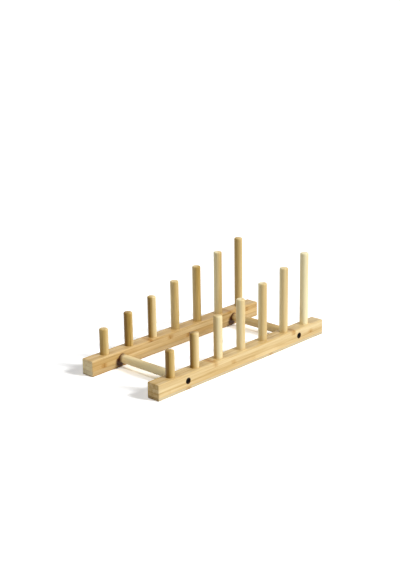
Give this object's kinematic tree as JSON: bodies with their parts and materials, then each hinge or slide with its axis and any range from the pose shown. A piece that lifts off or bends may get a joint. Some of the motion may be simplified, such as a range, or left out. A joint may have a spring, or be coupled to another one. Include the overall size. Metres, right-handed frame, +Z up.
{
  "type": "bamboo plate rack",
  "caption": "Bamboo rack that stands plates on edge between rows of rising dowels, set in parallel rails that screwed round crossbars hold apart.",
  "frame": {"origin": "middle of the footprint, on the surface that the rack stands on", "axes": "+X along the rails towards the tallest dowels, +Y from the front rail to the back rail, +Z up"},
  "size_m": [0.33, 0.143, 0.126],
  "materials": {
    "laminated_bamboo": "laminated bamboo strips, sanded, clear satin lacquer",
    "turned_bamboo": "turned bamboo dowel, sanded, clear satin lacquer",
    "black_steel": "black oxide steel, satin"
  },
  "bodies": {
    "root": {"front_rail": "laminated_bamboo", "back_rail": "laminated_bamboo", "front_dowel_1": "turned_bamboo", "front_dowel_2": "turned_bamboo", "front_dowel_3": "turned_bamboo", "front_dowel_4": "turned_bamboo", "front_dowel_5": "turned_bamboo", "front_dowel_6": "turned_bamboo", "front_dowel_7": "turned_bamboo", "back_dowel_1": "turned_bamboo", "back_dowel_2": "turned_bamboo", "back_dowel_3": "turned_bamboo", "back_dowel_4": "turned_bamboo", "back_dowel_5": "turned_bamboo", "back_dowel_6": "turned_bamboo", "back_dowel_7": "turned_bamboo", "left_crossbar": "turned_bamboo", "right_crossbar": "turned_bamboo", "front_left_screw": "black_steel", "front_right_screw": "black_steel", "back_left_screw": "black_steel", "back_right_screw": "black_steel"}
  },
  "joints": []
}
